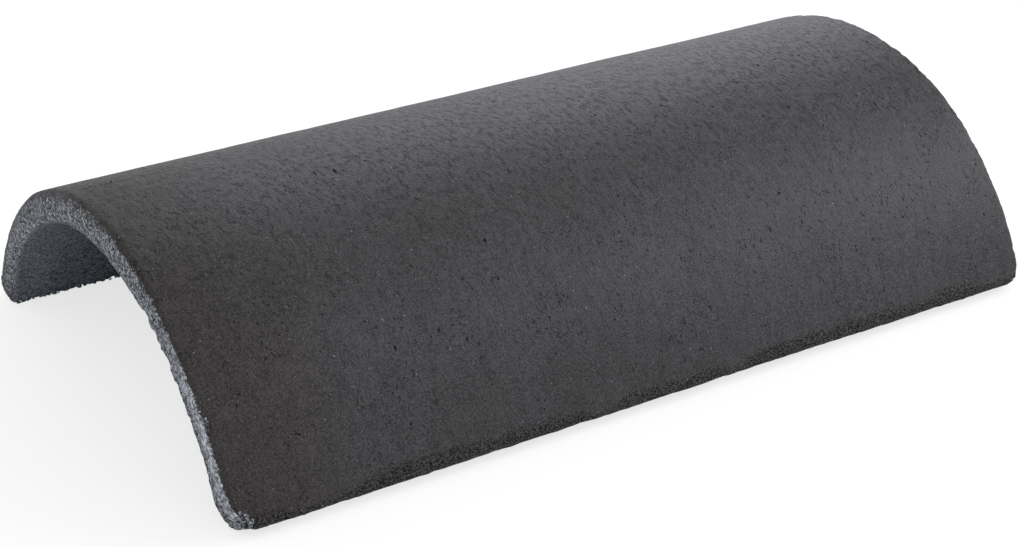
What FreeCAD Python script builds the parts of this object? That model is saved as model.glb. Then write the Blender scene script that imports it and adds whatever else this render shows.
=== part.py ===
"""Half round ridge tile: one piece of moulded concrete that caps the ridge of a pitched roof.

The tile is an arch of constant wall: an arc of a circle, the same on both sides of its crown, drawn out
straight from end to end. Both feet are cut square to the wall, so the tile stands on the inner edge of
each foot, and all its edges are rounded where the mould leaves them and handling wears them.

Frame: X runs along the tile, Y across it and Z up. The origin is midway along the tile and midway
between its feet, on the level that the feet stand on. Lengths are in millimetres, angles in degrees.
"""

import FreeCAD, Part
import math
import os

import Sketcher

NODE = "ridge_tile"

# name in the sheet, value, what it sets
DIMENSIONS = (
    ("tile_length", 450.0, "from one end face to the other"),
    ("outer_radius", 146.0, "of the top surface, which sheds the rain"),
    ("wall", 16.5, "thickness of the concrete, along a radius"),
    ("half_angle", 70.0, "from the crown to either foot"),
    ("foot_round", 3.0, "rounding of the four long edges of the feet"),
    ("end_round", 2.5, "rounding of the edges round both end faces"),
)

INNER_RADIUS = "(dimensions.outer_radius - dimensions.wall)"
# The rounding of a foot's inner edge is an arc, and its lowest point is what the tile stands on.
ROUNDING_CENTRE = f"({INNER_RADIUS} + dimensions.foot_round)"
ROUNDING_ANGLE = f"(dimensions.half_angle * 1 deg - asin(dimensions.foot_round / {ROUNDING_CENTRE}))"
LIFT_OF_CENTRE = f"(dimensions.foot_round - {ROUNDING_CENTRE} * cos({ROUNDING_ANGLE})) * 1 mm"

SAME = 1e-6


def write_sheet(doc):
    """Puts the driving dimensions in a sheet, each cell with its own alias."""
    sheet = doc.addObject("Spreadsheet::Sheet", "dimensions")
    for row, (alias, value, meaning) in enumerate(DIMENSIONS, start=1):
        sheet.set(f"A{row}", alias)
        sheet.set(f"B{row}", str(value))
        sheet.setAlias(f"B{row}", alias)
        sheet.set(f"C{row}", meaning)
    doc.recompute()
    return sheet


def origin_plane(body, role):
    """The body's own origin plane with that role."""
    return next(plane for plane in body.Origin.OriginFeatures if plane.Role == role)


def draw_section(body, sheet):
    """Sketches the arch across the tile: two arcs about one centre, joined by two feet along radii."""
    sketch = body.newObject("Sketcher::SketchObject", "section")
    sketch.AttachmentSupport = [(origin_plane(body, "YZ_Plane"), "")]
    sketch.MapMode = "FlatFace"

    outer_radius = float(sheet.outer_radius)
    inner_radius = outer_radius - float(sheet.wall)
    first = math.radians(90 - float(sheet.half_angle))
    last = math.pi - first
    centre = FreeCAD.Vector(0, 0, 0)
    upward = FreeCAD.Vector(0, 0, 1)

    def at(radius, angle):
        return FreeCAD.Vector(radius * math.cos(angle), radius * math.sin(angle), 0)

    outer, inner, right_foot, left_foot = sketch.addGeometry(
        [
            Part.ArcOfCircle(Part.Circle(centre, upward, outer_radius), first, last),
            Part.ArcOfCircle(Part.Circle(centre, upward, inner_radius), first, last),
            Part.LineSegment(at(inner_radius, first), at(outer_radius, first)),
            Part.LineSegment(at(inner_radius, last), at(outer_radius, last)),
        ]
    )
    start, end, middle = 1, 2, 3
    origin, upright_axis = -1, -2
    sketch.addConstraint(
        [
            Sketcher.Constraint("Coincident", outer, middle, origin, start),
            Sketcher.Constraint("Coincident", inner, middle, origin, start),
            Sketcher.Constraint("Coincident", right_foot, start, inner, start),
            Sketcher.Constraint("Coincident", right_foot, end, outer, start),
            Sketcher.Constraint("Coincident", left_foot, start, inner, end),
            Sketcher.Constraint("Coincident", left_foot, end, outer, end),
            Sketcher.Constraint("PointOnObject", origin, start, right_foot),
            Sketcher.Constraint("PointOnObject", origin, start, left_foot),
            Sketcher.Constraint("Symmetric", outer, start, outer, end, upright_axis),
        ]
    )
    sized = (
        ("outer_radius", Sketcher.Constraint("Radius", outer, outer_radius), "dimensions.outer_radius * 1 mm"),
        ("inner_radius", Sketcher.Constraint("Radius", inner, inner_radius), f"{INNER_RADIUS} * 1 mm"),
        ("foot_slope", Sketcher.Constraint("Angle", right_foot, first), "90 deg - dimensions.half_angle * 1 deg"),
    )
    for name, constraint, expression in sized:
        sketch.renameConstraint(sketch.addConstraint(constraint), name)
        sketch.setExpression(f"Constraints.{name}", expression)
    return sketch


def draw_out(body, section):
    """Pads the section the same way both ways from the middle of the tile."""
    pad = body.newObject("PartDesign::Pad", "arch")
    pad.Profile = section
    pad.SideType = "Symmetric"
    pad.setExpression("Length", "dimensions.tile_length * 1 mm")
    section.Visibility = False
    return pad


def round_edges(body, base, name, picked, size):
    """Rounds the picked edges of base, to a size from the sheet."""
    names = [f"Edge{i}" for i, edge in enumerate(base.Shape.Edges, start=1) if picked(edge)]
    fillet = body.newObject("PartDesign::Fillet", name)
    fillet.Base = (base, names)
    fillet.setExpression("Radius", f"dimensions.{size} * 1 mm")
    return fillet


def runs_along_the_tile(edge):
    """True for the straight edges of the feet, from one end face to the other."""
    first, last = (vertex.Point for vertex in edge.Vertexes)
    return abs(first.y - last.y) < SAME and abs(first.z - last.z) < SAME


def lies_on_an_end(edge):
    """True for the edges round both end faces, which keep one distance from the middle of the tile."""
    box = edge.BoundBox
    return box.XLength < SAME


def make_tile(doc, sheet):
    """Builds the tile as one body, then lifts it so that its feet stand on the level of the origin."""
    tile = doc.addObject("PartDesign::Body", NODE)
    tile.Label = NODE
    section = draw_section(tile, sheet)
    arch = draw_out(tile, section)
    doc.recompute()
    feet = round_edges(tile, arch, "rounded_feet", runs_along_the_tile, "foot_round")
    doc.recompute()
    round_edges(tile, feet, "rounded_ends", lies_on_an_end, "end_round")
    tile.setExpression("Placement.Base.z", LIFT_OF_CENTRE)
    doc.recompute()
    return tile


def check(doc, part):
    """Stops the build if any feature failed, or if the part isn't one sound solid."""
    for item in doc.Objects:
        if {"Invalid", "Error"} & set(item.State):
            raise RuntimeError(f"{item.Name} failed: {item.State}")
    shape = part.Shape
    if shape.isNull() or not shape.isValid() or len(shape.Solids) != 1:
        raise RuntimeError(f"{part.Label} isn't one valid solid")


def check_volume(tile, sheet):
    """Stops the build unless the roundings took away a little of the plain arch, and only a little."""
    outer_radius = float(sheet.outer_radius)
    inner_radius = outer_radius - float(sheet.wall)
    section_area = math.radians(float(sheet.half_angle)) * (outer_radius**2 - inner_radius**2)
    plain = section_area * float(sheet.tile_length)
    share = tile.Shape.Volume / plain
    print(f"{tile.Label}: {tile.Shape.Volume / 1000:.1f} cm3, {share:.4f} of the arch before rounding")
    if not 0.97 < share < 1:
        raise RuntimeError("the rounded edges took away too much or nothing")


def main():
    doc = FreeCAD.newDocument("half_round_ridge_tile")
    sheet = write_sheet(doc)
    tile = make_tile(doc, sheet)
    check(doc, tile)
    check_volume(tile, sheet)
    os.makedirs("parts", exist_ok=True)
    tile.Shape.exportStep(f"parts/{tile.Label}.step")


main()
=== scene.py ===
"""Looks of the half round ridge tile: moulded concrete with a dark satin coating on its back.

The tile is one skin. It starts as the skin of a box in unrolled coordinates: along the tile, around its
arc and out through its wall. The box's edges are rounded and worn there, and then it is rolled up into
the arch, with crumbs of concrete pressed into it. The same unrolled coordinates, kept on the mesh, carry
the material's grain, pits and specks.
Lengths are in metres.
"""

import math

import bpy
import numpy as np
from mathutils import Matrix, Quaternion, Vector, noise


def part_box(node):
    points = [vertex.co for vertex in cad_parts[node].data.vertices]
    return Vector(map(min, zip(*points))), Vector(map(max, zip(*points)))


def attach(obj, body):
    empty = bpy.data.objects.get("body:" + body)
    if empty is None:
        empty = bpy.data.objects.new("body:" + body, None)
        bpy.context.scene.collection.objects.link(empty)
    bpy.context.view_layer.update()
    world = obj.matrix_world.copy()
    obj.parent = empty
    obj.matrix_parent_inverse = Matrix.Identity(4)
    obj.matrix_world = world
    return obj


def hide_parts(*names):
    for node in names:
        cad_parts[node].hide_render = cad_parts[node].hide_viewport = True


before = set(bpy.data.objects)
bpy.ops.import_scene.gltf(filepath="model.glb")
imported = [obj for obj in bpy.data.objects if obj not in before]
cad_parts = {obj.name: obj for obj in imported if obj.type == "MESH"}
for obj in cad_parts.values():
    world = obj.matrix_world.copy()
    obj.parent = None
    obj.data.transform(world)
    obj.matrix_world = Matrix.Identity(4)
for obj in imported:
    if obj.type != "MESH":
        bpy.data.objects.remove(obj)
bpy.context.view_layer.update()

NODE = "ridge_tile"
MM = 0.001

# The arch, as the construction has it
LOW, HIGH = (np.array(corner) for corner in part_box(NODE))
LENGTH = HIGH[0] - LOW[0]
OUTER_RADIUS = 146 * MM
WALL = 16.5 * MM
HALF_ANGLE = math.radians(70)
MIDDLE_RADIUS = OUTER_RADIUS - WALL / 2
CENTRE_HEIGHT = HIGH[2] - OUTER_RADIUS
HALF = np.array([LENGTH / 2, HALF_ANGLE * MIDDLE_RADIUS, WALL / 2])  # half the unrolled box

# The skin's grid: cells along, around and through, and how much finer they are at the box's edges
CELLS = (190, 200, 14)
FINER = (0.68, 0.4, 0.35)

# Rounding and wear of the edges
ROUNDING = 2.6 * MM
LEAST_ROUNDING = 1.2 * MM
WORN_WIDTH = 5 * MM
CRUMBS = 150

# Linear colours
COAT_DARKER = (0.0275, 0.0255, 0.0265, 1)
COAT_PALER = (0.034, 0.0322, 0.0345, 1)
# The coating's brown tint at the near end, made darker still as painted shade
COAT_BROWN_AND_SHADE = (0.027, 0.0225, 0.020, 1)
COAT_REFLECTION = (1, 0.96, 0.99, 1)
CEMENT_DARKER = (0.115, 0.127, 0.150, 1)
CEMENT_PALER = (0.25, 0.268, 0.305, 1)
FOOT_BROWN = (0.055, 0.048, 0.043, 1)
LIP_CEMENT = (0.58, 0.605, 0.67)
MOULD_DARKER = (0.095, 0.109, 0.131, 1)
MOULD_PALER = (0.17, 0.187, 0.216, 1)

# The studio
FLOOR_REACH = 8.0
WORLD_STRENGTH = 0.72
KEY_PLACE, KEY_SIZE, KEY_POWER, KEY_COLOUR = (1.3, -0.5, 0.95), 1.0, 9, (0.97, 0.99, 1.06)
RIM_PLACE, RIM_SIZE, RIM_POWER, RIM_COLOUR = (0.9, 1.1, 0.7), 0.9, 4.5, (0.95, 0.98, 1.1)

# The camera, fitted together with the arch to the tile's outline
AIM = Vector((1.8, 3.6, 7.9)) * MM
AZIMUTH = math.radians(-32.51)
ELEVATION = math.radians(26.91)
ROLL = math.radians(0.32)
DISTANCE = 1.1353
SENSOR_WIDTH = 36  # in mm, as the camera's own data has it
FOCAL_LENGTH = 77.33  # in mm


# ---------------------------------------------------------------- the tile's shape

def skin_grid(cells):
    """The skin of a box of cells: each point's three whole coordinates, and quads that face outwards."""
    quads = []
    for axis in range(3):
        first, second = [other for other in range(3) if other != axis]
        a, b = np.meshgrid(np.arange(cells[first]), np.arange(cells[second]), indexing="ij")
        for level in (0, cells[axis]):
            corners = np.zeros((a.size, 4, 3), int)
            corners[:, :, axis] = level
            for corner, (step_a, step_b) in enumerate(((0, 0), (1, 0), (1, 1), (0, 1))):
                corners[:, corner, first] = (a + step_a).ravel()
                corners[:, corner, second] = (b + step_b).ravel()
            faces_out = (level > 0) == (axis != 1)
            quads.append(corners if faces_out else corners[:, ::-1])
    corners = np.concatenate(quads).reshape(-1, 3)
    points, numbers = np.unique(corners, axis=0, return_inverse=True)
    return points, numbers.reshape(-1, 4)


def graded(points):
    """Spreads whole coordinates over the unrolled box, closer together towards its edges."""
    share = 2 * points / np.array(CELLS) - 1
    finer = np.array(FINER)
    return HALF * ((1 - finer) * share + finer * np.sin(share * math.pi / 2))


def field(points, size, seed=0.0, octaves=3):
    """Smooth random values, about -1 to 1, with features of that size."""
    return np.array([noise.fractal(p, 1.0, 2.0, octaves) for p in (points / size + seed).tolist()])


def bites(points, size, share, seed=0.0):
    """Rounded bites, 1 at the middle of each and 0 outside, in a share of the cells of that size."""
    depths = []
    for p in (points / size + seed).tolist():
        distances, centres = noise.voronoi(p)
        taken = (noise.cell(centres[0] * 37.0) + 1) / 2 < share
        depths.append(max(0.0, 1 - distances[0] / 0.55) if taken else 0.0)
    return np.array(depths)


def smooth(values, low, high):
    """0 below low, 1 above high, and a smooth step between."""
    t = np.clip((values - low) / (high - low), 0, 1)
    return t * t * (3 - 2 * t)


def near(points, place, reach):
    """1 at a place on the unrolled box, fading to 0 at reach from it."""
    gap = np.linalg.norm(points - np.array(place), axis=1)
    return 1 - smooth(gap, 0, reach)


def worn_skin(flat):
    """Rounds and wears the unrolled box. Returns the new points and the way each one faces."""
    gaps = np.sort(HALF - np.abs(flat), axis=1)
    edge_gap = gaps[:, 1]
    inner = smooth(-flat[:, 2], -HALF[2], HALF[2])
    near_end = smooth(-flat[:, 0], HALF[0] - 12 * MM, HALF[0])
    far_end = smooth(flat[:, 0], HALF[0] - 12 * MM, HALF[0])
    foot = smooth(np.abs(flat[:, 1]), HALF[1] - 12 * MM, HALF[1])
    hidden_foot = smooth(flat[:, 1], HALF[1] - 12 * MM, HALF[1])
    crown = 1 - smooth(np.abs(flat[:, 1]), 20 * MM, 75 * MM)

    rounding = ROUNDING * (1 + 0.35 * field(flat, 18 * MM, 3.1))
    rounding += 2.0 * MM * near_end * crown * (1 - 0.5 * inner)
    rounding = np.clip(rounding, LEAST_ROUNDING, 0.45 * WALL)[:, None]
    core = np.clip(flat, rounding - HALF, HALF - rounding)
    facing = flat - core
    facing /= np.linalg.norm(facing, axis=1, keepdims=True)
    rounded = core + rounding * facing

    worn = np.exp(-(edge_gap / WORN_WIDTH) ** 2)
    weak = np.clip(0.25 + 0.75 * inner + 0.7 * far_end + 0.9 * hidden_foot, 0, 1.6)
    crumbled = 0.6 * MM * np.abs(field(flat, 4 * MM, 7.7, 4)) * worn * weak
    crumbled += 1.2 * MM * bites(flat, 4 * MM, 0.45, 2.2) * worn * weak
    crumbled += 0.8 * MM * bites(flat, 3 * MM, 0.3, 7.1) * worn * far_end
    exposed = 0.4 + 0.6 * np.maximum(near_end, foot)
    crumbled += 1.7 * MM * bites(flat, 9 * MM, 0.3, 5.9) * worn * weak * exposed
    crumbled -= 0.9 * MM * bites(flat, 2.6 * MM, 0.4, 6.1) * worn * weak * np.maximum(foot, 0.5 * near_end)
    crumbled -= 0.8 * MM * bites(flat, 1.8 * MM, 0.45, 4.8) * worn * weak * hidden_foot

    bare = 1 - smooth(facing[:, 2], 0.25, 0.8)
    grainy = 0.16 * MM * field(flat, 2.6 * MM, 1.3, 2) * bare
    wavy = 0.25 * MM * field(flat, 70 * MM, 9.2, 2) + 0.07 * MM * field(flat, 9 * MM, 4.4, 2)
    wavy += 0.13 * MM * field(flat, 4.5 * MM, 2.6, 2) * crown * (1 - inner)
    return rounded + facing * (grainy + wavy - crumbled)[:, None], facing


def chipped(flat, points, facing):
    """Breaks the larger chips out of the ends. Returns the new points and 1 where a chip has bared them."""
    left, right, top = -HALF[0], -HALF[1], HALF[2]
    chips = (
        ((left + 3 * MM, right + 5 * MM, top), 7 * MM, 2.2 * MM),
        ((left + 1 * MM, right + 1 * MM, top - 3 * MM), 8 * MM, 2.2 * MM),
        ((left + 3 * MM, right, -top), 8 * MM, 1.2 * MM),
        ((-left, right, top - 2 * MM), 9 * MM, 3.4 * MM),
        ((left, right + 47 * MM, top), 4 * MM, 1.3 * MM),
        ((left, right + 108 * MM, -top), 6 * MM, 1.6 * MM),
    )
    bared = np.zeros(len(flat))
    for place, reach, depth in chips:
        ragged = 1 + 0.6 * field(flat, 2.0 * MM, 8.8, 3)
        depths = near(flat, place, reach) * ragged
        points = points - facing * (depth * depths)[:, None]
        bared = np.maximum(bared, depths)
    worn_back = near(flat, (left, right, top), 21 * MM) * (1 + 0.3 * field(flat, 4 * MM, 1.8, 3))
    points[:, 0] += 4.5 * MM * worn_back + 2.4 * MM * near(flat, (left, right, -top), 15 * MM)
    return points, smooth(bared, 0.2, 0.5)


def crumb_place(number, along, inwards, outwards):
    """Most crumbs are on the hidden foot's inner edge, each fifth on its near end, and a few on the crown."""
    if number % 5 == 0:
        return inwards + 1 * MM - HALF[0], HALF[1] - 4 * MM - 8 * inwards, HALF[2] - 1.3 * MM
    if number % 20 == 3:
        return 9 * inwards + 4 * MM - HALF[0], 33 * MM + 6 * outwards, HALF[2] - 0.1 * MM
    return along - HALF[0] + 4 * MM, HALF[1] - inwards, -HALF[2] + outwards


def crumbs(count):
    """Small uneven balls, as points on the unrolled box and the quads between them."""
    ball, faces = skin_grid((2, 2, 2))
    ball = (ball - 1) / np.linalg.norm(ball - 1, axis=1, keepdims=True)
    chance = np.random.default_rng(5)
    points, quads = [], []
    for number in range(count):
        along = 0.42 * LENGTH * chance.random() ** 1.4
        inwards, outwards = chance.uniform(0, 2.6 * MM), chance.uniform(-0.5 * MM, 0.6 * MM)
        centre = np.array(crumb_place(number, along, inwards, outwards))
        points.append(centre + ball * chance.uniform(0.5 * MM, 1.25 * MM) * chance.uniform(0.7, 1.2, 3))
        quads.append(faces + number * len(ball))
    return np.concatenate(points), np.concatenate(quads)


def rolled(points):
    """Rolls unrolled points up into the arch."""
    angle = points[:, 1] / MIDDLE_RADIUS
    radius = MIDDLE_RADIUS + points[:, 2]
    height = np.maximum(CENTRE_HEIGHT + radius * np.cos(angle), 0.02 * MM)
    return np.stack([points[:, 0], radius * np.sin(angle), height], axis=1)


def keep(mesh, name, kind, values):
    """Keeps a value for each of the mesh's points, for the material to read."""
    attribute = mesh.attributes.new(name, kind, "POINT")
    attribute.data.foreach_set("vector" if kind == "FLOAT_VECTOR" else "value", np.ravel(values))


def coating_reach(flat, facing):
    """1 under the coating and 0 where there is none: it thins out down the near end's face at the crown."""
    crown = smooth(flat[:, 1], -38 * MM, -8 * MM)
    near_end = smooth(-flat[:, 0], 0, HALF[0])
    thinned = 0.66 * crown * near_end * (1 - smooth(HALF[2] - flat[:, 2], 0, 9 * MM))
    return np.maximum(smooth(facing[:, 2] + 0.12 * field(flat, 5 * MM, 6.6), 0.15, 0.9), thinned)


def feathered_lip(flat, facing):
    """1 on the near end's outer edge down the visible side, where the mould left a paler lip of cement."""
    near_end = smooth(-flat[:, 0], HALF[0] - 6 * MM, HALF[0] - 3 * MM)
    side = smooth(-flat[:, 1], 72 * MM, 112 * MM)
    outer = smooth(flat[:, 2], -3.5 * MM, 1.5 * MM)
    return near_end * side * outer * np.clip(1 + 0.5 * field(flat, 14 * MM, 3.3), 0, 1)


def make_tile(material):
    """Makes the tile's one skin, and keeps on it what the material reads."""
    points, quads = skin_grid(CELLS)
    flat = graded(points)
    worn, facing = worn_skin(flat)
    worn, bared = chipped(flat, worn, facing)
    loose, loose_quads = crumbs(CRUMBS)
    quads = np.concatenate([quads, loose_quads + len(flat)])
    flat = np.concatenate([flat, loose])
    worn = np.concatenate([worn, loose])
    facing = np.concatenate([facing, np.tile((0.0, 0.0, -1.0), (len(loose), 1))])
    bared = np.concatenate([bared, np.ones(len(loose))])
    mesh = bpy.data.meshes.new("tile")
    mesh.from_pydata(rolled(worn).tolist(), [], quads.tolist())
    mesh.update()
    mesh.shade_smooth()
    keep(mesh, "unrolled", "FLOAT_VECTOR", worn)
    keep(mesh, "coated", "FLOAT", coating_reach(flat, facing) * (1 - bared))
    keep(mesh, "feathered", "FLOAT", feathered_lip(flat, facing) * (1 - bared))
    keep(mesh, "inside", "FLOAT", smooth(-facing[:, 2] + 0.15 * field(flat, 6 * MM, 2.8), 0.3, 0.9))
    mesh.materials.append(material)
    tile = bpy.data.objects.new("tile", mesh)
    bpy.context.scene.collection.objects.link(tile)
    return tile


# ---------------------------------------------------------------- the tile's material

def add(tree, kind, settings, inputs):
    """Adds a node. Each input goes to the socket of that name or number, as a value or a socket to link."""
    made = tree.nodes.new("ShaderNode" + kind)
    for name, value in settings.items():
        setattr(made, name, value)
    for name, value in inputs.items():
        if isinstance(value, bpy.types.NodeSocket):
            tree.links.new(value, made.inputs[name])
        else:
            made.inputs[name].default_value = value
    return made


def maths(tree, operation, first, second=0.0, third=0.0):
    made = add(tree, "Math", {"operation": operation}, {0: first, 1: second, 2: third})
    return made.outputs[0]


def step(tree, value, low, high, bottom=0.0, top=1.0):
    """A smooth step of value: bottom below low, and top above high."""
    settings = {"interpolation_type": "SMOOTHSTEP"}
    made = add(tree, "MapRange", settings, {"Value": value, 1: low, 2: high, 3: bottom, 4: top})
    return made.outputs[0]


def mixed(tree, share, first, second):
    """A colour between first and second."""
    made = add(tree, "Mix", {"data_type": "RGBA"}, {0: share, 6: first, 7: second})
    return made.outputs[2]


def mixed_value(tree, share, first, second):
    made = add(tree, "Mix", {}, {0: share, 2: first, 3: second})
    return made.outputs[0]


def grey(level, warm=0.0):
    """A grey of that linear level, warmer or, below 0, bluer."""
    return (level * (1 + warm), level, level * (1 - warm), 1)


def noisy(tree, vector, size, detail=2.0, roughness=0.5):
    """Noise from 0 to 1 with features of that size."""
    inputs = {"Vector": vector, "Scale": 1 / size, "Detail": detail, "Roughness": roughness}
    return add(tree, "TexNoise", {}, inputs).outputs[0]


def stretched(tree, vector, along, around, out=1):
    made = add(tree, "VectorMath", {"operation": "MULTIPLY"}, {0: vector, 1: (along, around, out)})
    return made.outputs[0]


def scattered(tree, vector, cell, share, least, most):
    """Spots, 1 inside and 0 outside: one in a share of the cells, with radii from least to most."""
    cells = add(tree, "TexVoronoi", {}, {"Vector": vector, "Scale": 1 / cell})
    parts = add(tree, "SeparateColor", {}, {0: cells.outputs["Color"]})
    radius = step(tree, parts.outputs[0], 0, 1, least / cell, most / cell)
    inside = step(tree, maths(tree, "DIVIDE", cells.outputs["Distance"], radius), 0.6, 1.0, 1, 0)
    taken = maths(tree, "LESS_THAN", parts.outputs[1], share)
    return maths(tree, "MULTIPLY", inside, taken)


def total(tree, *terms):
    """The sum of terms, each a pair of a value and what it is multiplied by."""
    result = 0.0
    for value, factor in terms:
        result = maths(tree, "MULTIPLY_ADD", value, factor, result)
    return result


def scaled(tree, colour, factor):
    made = add(tree, "VectorMath", {"operation": "SCALE"}, {0: colour, "Scale": factor})
    return made.outputs[0]


def product(tree, first, second):
    return maths(tree, "MULTIPLY", first, second)


def coat_looks(tree, place, around, along):
    """Colour, roughness, sheen and height of the coating, with its pits, specks and rough lower border."""
    tall = stretched(tree, place, 1.0, 0.55)
    swirl = add(tree, "TexNoise", {}, {"Vector": tall, "Scale": 600.0}).outputs["Color"]
    shift = scaled(tree, swirl, 1.4 * MM)
    bent = add(tree, "VectorMath", {"operation": "ADD"}, {0: tall, 1: shift}).outputs[0]
    crown = step(tree, maths(tree, "ABSOLUTE", around), 20 * MM, 120 * MM, 1, 0)

    clouds = noisy(tree, place, 60 * MM, 3)
    mottle = noisy(tree, tall, 5 * MM, 3, 0.6)
    grain = step(tree, noisy(tree, place, 0.8 * MM, 1, 0.5), 0.28, 0.72)
    dents = step(tree, noisy(tree, tall, 2.8 * MM, 4, 0.75), 0.44, 0.68)
    clusters = step(tree, noisy(tree, place, 14 * MM, 2), 0.4, 0.6, 0.2, 1)
    small_pits = product(tree, step(tree, noisy(tree, bent, 1.2 * MM, 2, 0.7), 0.615, 0.68), clusters)
    large_pits = scattered(tree, bent, 9 * MM, 0.42, 0.3 * MM, 0.85 * MM)
    specks = scattered(tree, bent, 6 * MM, 0.25, 0.15 * MM, 0.45 * MM)
    pits = maths(tree, "MAXIMUM", product(tree, small_pits, 0.8), large_pits)

    rough_grain = step(tree, noisy(tree, place, 0.8 * MM, 2, 0.7), 0.38, 0.62)
    width = step(tree, noisy(tree, place, 55 * MM, 3), 0.35, 0.6, 2.5 * MM, 7.5 * MM)
    below = maths(tree, "SUBTRACT", maths(tree, "ABSOLUTE", around), maths(tree, "SUBTRACT", HALF[1], width))
    spread = noisy(tree, place, 1.2 * MM, 3, 0.8)
    dithered = maths(tree, "MULTIPLY_ADD", spread, 16 * MM, maths(tree, "SUBTRACT", below, 8 * MM))
    border = step(tree, dithered, -0.8 * MM, 0.8 * MM)
    # A pale line along the top of the rough lower border: a painted highlight on its ledge
    ledge_highlight_starts = step(tree, below, -3.5 * MM, -1.2 * MM)
    lip = product(tree, ledge_highlight_starts, step(tree, below, -1.2 * MM, 0, 1, 0))
    glints = product(tree, border, rough_grain)

    tone = mixed(tree, step(tree, clouds, 0.3, 0.7), COAT_DARKER, COAT_PALER)
    # Browner and darker towards the near end: partly the coating's own brown tint, partly painted shade where
    # the light falls off. Its sheen is lowered there too.
    near_end_brown_and_shade = step(tree, along, -LENGTH / 2, -LENGTH / 2 + 85 * MM, 1, 0)
    tone = mixed(tree, product(tree, near_end_brown_and_shade, 0.7), tone, COAT_BROWN_AND_SHADE)
    tone = scaled(tree, tone, maths(tree, "MULTIPLY_ADD", grain, 0.8, 0.6))
    tone = scaled(tree, tone, maths(tree, "MULTIPLY_ADD", mottle, 0.6, 0.7))
    tone = mixed(tree, product(tree, dents, product(tree, crown, 0.7)), tone, grey(0.008))
    tone = mixed(tree, product(tree, pits, 0.85), tone, grey(0.008))
    tone = mixed(tree, product(tree, specks, 0.8), tone, grey(0.2))
    # Painted highlight: the pale line above the border
    tone = mixed(tree, product(tree, lip, 0.05), tone, grey(0.09))
    border_tone = mixed(tree, rough_grain, grey(0.005, 0.02), grey(0.07, 0.07))
    tone = mixed(tree, product(tree, border, 0.85), tone, border_tone)

    dark_dents = product(tree, dents, product(tree, crown, 0.6))
    dark = maths(tree, "MAXIMUM", product(tree, pits, 0.95), dark_dents)
    sheen = total(tree, (grain, 0.24), (mottle, 0.34), (glints, 0.3), (border, -0.3))
    sheen = maths(tree, "MAXIMUM", maths(tree, "ADD", sheen, 0.2), 0)
    sheen = product(tree, sheen, maths(tree, "SUBTRACT", 1, dark))
    sheen = product(tree, sheen, maths(tree, "MULTIPLY_ADD", near_end_brown_and_shade, -0.25, 1))

    gloss = total(tree, (mottle, 0.16), (grain, 0.12), (pits, 0.35), (border, 0.3))
    gloss = maths(tree, "ADD", gloss, 0.36)
    height = total(
        tree,
        (product(tree, mottle, maths(tree, "MULTIPLY_ADD", crown, 0.6, 1)), 0.25 * MM),
        (grain, 0.06 * MM),
        (product(tree, dents, crown), -0.16 * MM),
        (pits, -0.4 * MM),
        (glints, 0.3 * MM),
        (border, -0.12 * MM),
    )
    return tone, gloss, sheen, height


def bare_looks(tree, place, around, feathered):
    """Colour and height of the bare ends and feet: sand grains, dark and pale, in blue-grey cement."""
    grains = add(tree, "TexVoronoi", {}, {"Vector": place, "Scale": 1 / (0.85 * MM)})
    kind = add(tree, "SeparateColor", {}, {0: grains.outputs["Color"]}).outputs[0]
    fine = step(tree, noisy(tree, place, 0.65 * MM, 2, 0.7), 0.3, 0.7)
    cement = mixed(tree, noisy(tree, place, 7 * MM, 3), CEMENT_DARKER, CEMENT_PALER)
    tone = scaled(tree, cement, maths(tree, "MULTIPLY_ADD", fine, 1.7, 0.2))
    coarse = step(tree, noisy(tree, place, 1.9 * MM, 3, 0.65), 0.34, 0.66, 0.35, 1.65)
    tone = scaled(tree, tone, coarse)
    tone = mixed(tree, step(tree, kind, 0.24, 0.36, 0.95, 0), tone, grey(0.012, -0.05))
    tone = mixed(tree, step(tree, kind, 0.84, 0.94, 0, 0.9), tone, grey(0.5, -0.05))
    far_foot = step(tree, around, HALF[1] - 24 * MM, HALF[1] - 6 * MM, 0, 0.65)
    tone = mixed(tree, product(tree, far_foot, step(tree, fine, 0.2, 0.9, 1, 0.5)), tone, FOOT_BROWN)
    lip_tone = scaled(tree, LIP_CEMENT, maths(tree, "MULTIPLY_ADD", fine, 0.9, 0.3))
    lip_tone = scaled(tree, lip_tone, coarse)
    patchy = step(tree, noisy(tree, place, 3.5 * MM, 3, 0.65), 0.3, 0.6, 0.15, 0.95)
    tone = mixed(tree, product(tree, feathered, patchy), tone, lip_tone)
    holes = scattered(tree, place, 5 * MM, 0.6, 0.3 * MM, 0.9 * MM)
    tone = mixed(tree, product(tree, holes, 0.9), tone, grey(0.02))
    height = total(
        tree,
        (grains.outputs["Distance"], -0.25 * MM),
        (noisy(tree, place, 2.5 * MM, 3, 0.6), 0.6 * MM),
        (holes, -0.6 * MM),
    )
    return tone, height


def inside_looks(tree, place):
    """Colour and height of the hollow side, left by the mould: darker, and grainy all over."""
    grain = step(tree, noisy(tree, place, 1.1 * MM, 2, 0.7), 0.28, 0.72)
    clouds = noisy(tree, place, 25 * MM, 3)
    tone = mixed(tree, clouds, MOULD_DARKER, MOULD_PALER)
    tone = scaled(tree, tone, maths(tree, "MULTIPLY_ADD", grain, 2.0, 0.2))
    hollows = step(tree, noisy(tree, place, 1.8 * MM, 2, 0.7), 0.6, 0.7, 0, 0.8)
    tone = mixed(tree, hollows, tone, grey(0.02, -0.08))
    height = total(tree, (grain, 0.25 * MM), (noisy(tree, place, 6 * MM, 2), 0.6 * MM))
    return tone, height


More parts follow.
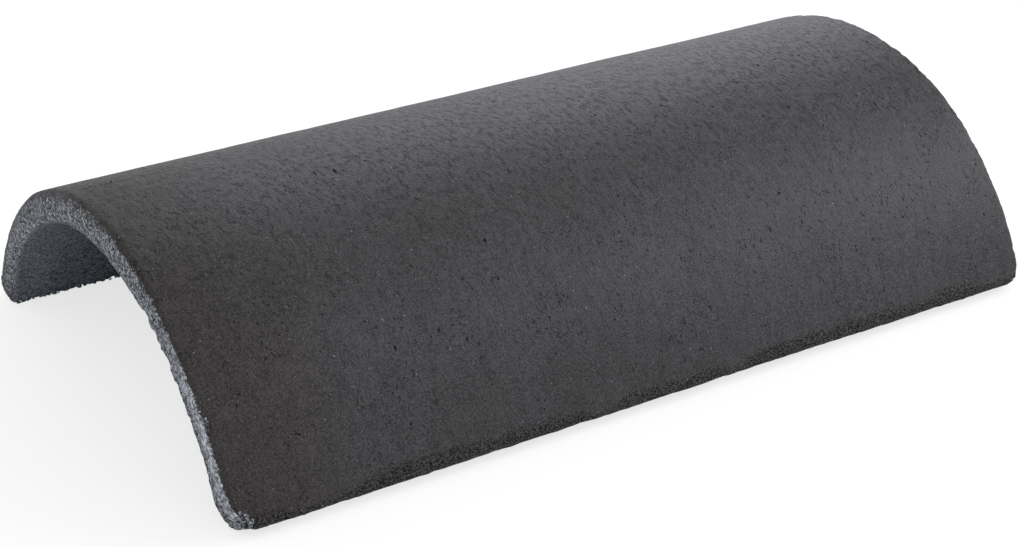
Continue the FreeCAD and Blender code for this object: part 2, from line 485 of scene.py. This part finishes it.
def concrete():
    """The tile's material: coating, bare concrete and mould side, each where the mesh says."""
    material = bpy.data.materials.new("coated_concrete")
    material.use_nodes = True
    tree = material.node_tree
    shader = tree.nodes["Principled BSDF"]
    place = add(tree, "Attribute", {"attribute_name": "unrolled"}, {}).outputs["Vector"]
    coated = add(tree, "Attribute", {"attribute_name": "coated"}, {}).outputs["Fac"]
    inside = add(tree, "Attribute", {"attribute_name": "inside"}, {}).outputs["Fac"]
    feathered = add(tree, "Attribute", {"attribute_name": "feathered"}, {}).outputs["Fac"]
    parts = add(tree, "SeparateXYZ", {}, {0: place})
    along, around = parts.outputs[0], parts.outputs[1]

    ragged = maths(tree, "MULTIPLY_ADD", noisy(tree, place, 1.2 * MM, 2, 0.7), 2.4, -1.2)
    coated = step(tree, maths(tree, "ADD", coated, ragged), 0.35, 0.65)
    inside = step(tree, maths(tree, "ADD", inside, ragged), 0.3, 0.7)

    coat_tone, coat_gloss, coat_sheen, coat_height = coat_looks(tree, place, around, along)
    bare_tone, bare_height = bare_looks(tree, place, around, feathered)
    inside_tone, inside_height = inside_looks(tree, place)
    tone = mixed(tree, inside, bare_tone, inside_tone)
    tone = mixed(tree, coated, tone, coat_tone)
    height = mixed_value(tree, inside, bare_height, inside_height)
    height = mixed_value(tree, coated, height, coat_height)
    gloss = mixed_value(tree, coated, 0.85, coat_gloss)
    sheen = mixed_value(tree, coated, 0.4, coat_sheen)

    bump = add(tree, "Bump", {}, {"Height": height, "Distance": 1.0, "Strength": 1.0})
    tree.links.new(tone, shader.inputs["Base Color"])
    tree.links.new(gloss, shader.inputs["Roughness"])
    tree.links.new(sheen, shader.inputs["Specular IOR Level"])
    shader.inputs["Specular Tint"].default_value = COAT_REFLECTION
    tree.links.new(bump.outputs[0], shader.inputs["Normal"])
    return material


# ---------------------------------------------------------------- the studio

def floor():
    """A wide white floor, which fills the view and keeps the tile's shadow."""
    mesh = bpy.data.meshes.new("floor")
    corners = [(x * FLOOR_REACH, y * FLOOR_REACH, 0) for x, y in ((-1, -1), (1, -1), (1, 1), (-1, 1))]
    mesh.from_pydata(corners, [], [(0, 1, 2, 3)])
    sheet = bpy.data.objects.new("floor", mesh)
    bpy.context.scene.collection.objects.link(sheet)
    material = bpy.data.materials.new("white_floor")
    material.use_nodes = True
    tree = material.node_tree
    tree.nodes.clear()
    bounced = add(tree, "BsdfDiffuse", {}, {"Color": grey(0.9)}).outputs[0]
    shaded = add(tree, "BsdfDiffuse", {}, {"Color": grey(0.36)}).outputs[0]
    white = add(tree, "Emission", {}, {"Color": grey(1.0), "Strength": 0.72}).outputs[0]
    seen = add(tree, "AddShader", {}, {0: shaded, 1: white}).outputs[0]
    by_camera = add(tree, "LightPath", {}, {}).outputs["Is Camera Ray"]
    surface = add(tree, "MixShader", {}, {0: by_camera, 1: bounced, 2: seen}).outputs[0]
    add(tree, "OutputMaterial", {}, {"Surface": surface})
    mesh.materials.append(material)


def lamp(name, place, size, power, colour):
    """A square soft lamp that points at the tile."""
    light = bpy.data.lights.new(name, "AREA")
    light.shape = "SQUARE"
    light.size = size
    light.energy = power
    light.color = colour
    holder = bpy.data.objects.new(name, light)
    holder.location = place
    holder.rotation_euler = Vector(place).to_track_quat("Z", "Y").to_euler()
    bpy.context.scene.collection.objects.link(holder)


def studio():
    """Even light from all round, a large soft lamp past the far end, and a smaller one behind the tile."""
    world = bpy.data.worlds.new("studio")
    world.use_nodes = True
    background = world.node_tree.nodes["Background"]
    background.inputs["Color"].default_value = grey(1.0)
    background.inputs["Strength"].default_value = WORLD_STRENGTH
    bpy.context.scene.world = world
    lamp("key", KEY_PLACE, KEY_SIZE, KEY_POWER, KEY_COLOUR)
    lamp("rim", RIM_PLACE, RIM_SIZE, RIM_POWER, RIM_COLOUR)
    bpy.context.scene.view_settings.view_transform = "Standard"


def camera():
    """The camera looks at the tile from above its near end."""
    back = Vector((
        math.sin(AZIMUTH) * math.cos(ELEVATION),
        -math.cos(AZIMUTH) * math.cos(ELEVATION),
        math.sin(ELEVATION),
    ))
    data = bpy.data.cameras.new("camera")
    data.sensor_width = SENSOR_WIDTH
    data.lens = FOCAL_LENGTH
    holder = bpy.data.objects.new("camera", data)
    holder.location = AIM + DISTANCE * back
    holder.rotation_mode = "QUATERNION"
    holder.rotation_quaternion = back.to_track_quat("Z", "Y") @ Quaternion((0, 0, 1), ROLL)
    bpy.context.scene.collection.objects.link(holder)
    bpy.context.scene.camera = holder


tile = make_tile(concrete())
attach(tile, "root")
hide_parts(NODE)
floor()
studio()
camera()
